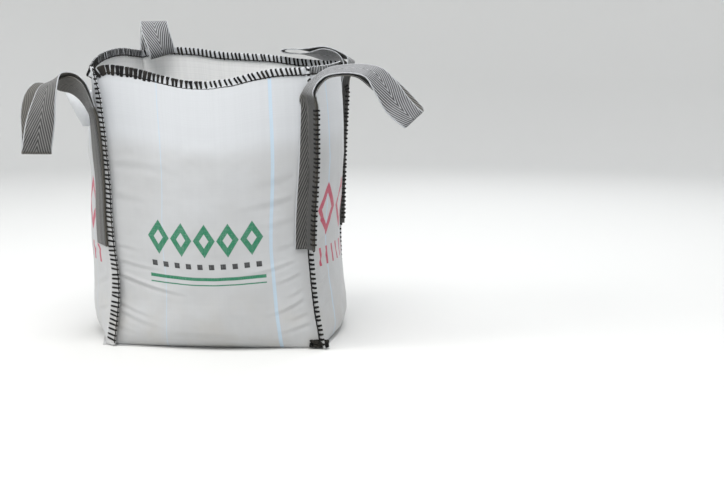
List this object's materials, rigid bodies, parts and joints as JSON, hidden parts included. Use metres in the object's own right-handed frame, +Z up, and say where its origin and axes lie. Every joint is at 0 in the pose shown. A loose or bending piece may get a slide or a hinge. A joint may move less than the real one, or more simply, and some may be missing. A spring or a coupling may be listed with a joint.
{
  "type": "bag of gravel",
  "caption": "Open-topped woven bulk bag full of crushed gravel, with stitched corner seams and webbing loops at the corners for lifting it.",
  "frame": {"origin": "centre of the base's underside, on the surface that the bag stands on", "axes": "+Z up, the front panel faces -Y, +X to its right seen from the front"},
  "size_m": [0.9334, 0.6242, 0.7579],
  "materials": {
    "woven_fabric": "plain woven tape fabric, cool white, slightly glossy",
    "stitching": "black overlock yarn",
    "webbing": "grey webbing with a dark herringbone twill",
    "label": "plain white tear-proof sheet, blank",
    "gravel": "crushed blue-grey stone"
  },
  "bodies": {
    "root": {"front_panel": "woven_fabric", "right_panel": "woven_fabric", "back_panel": "woven_fabric", "left_panel": "woven_fabric", "base_panel": "woven_fabric", "hem_stitching": "stitching", "corner_stitching_front_left": "stitching", "corner_stitching_front_right": "stitching", "corner_stitching_back_right": "stitching", "corner_stitching_back_left": "stitching", "lifting_loop_front_left": "webbing", "lifting_loop_front_right": "webbing", "lifting_loop_back_right": "webbing", "lifting_loop_back_left": "webbing", "label_sheet": "label", "gravel_fill": "gravel"}
  },
  "joints": []
}
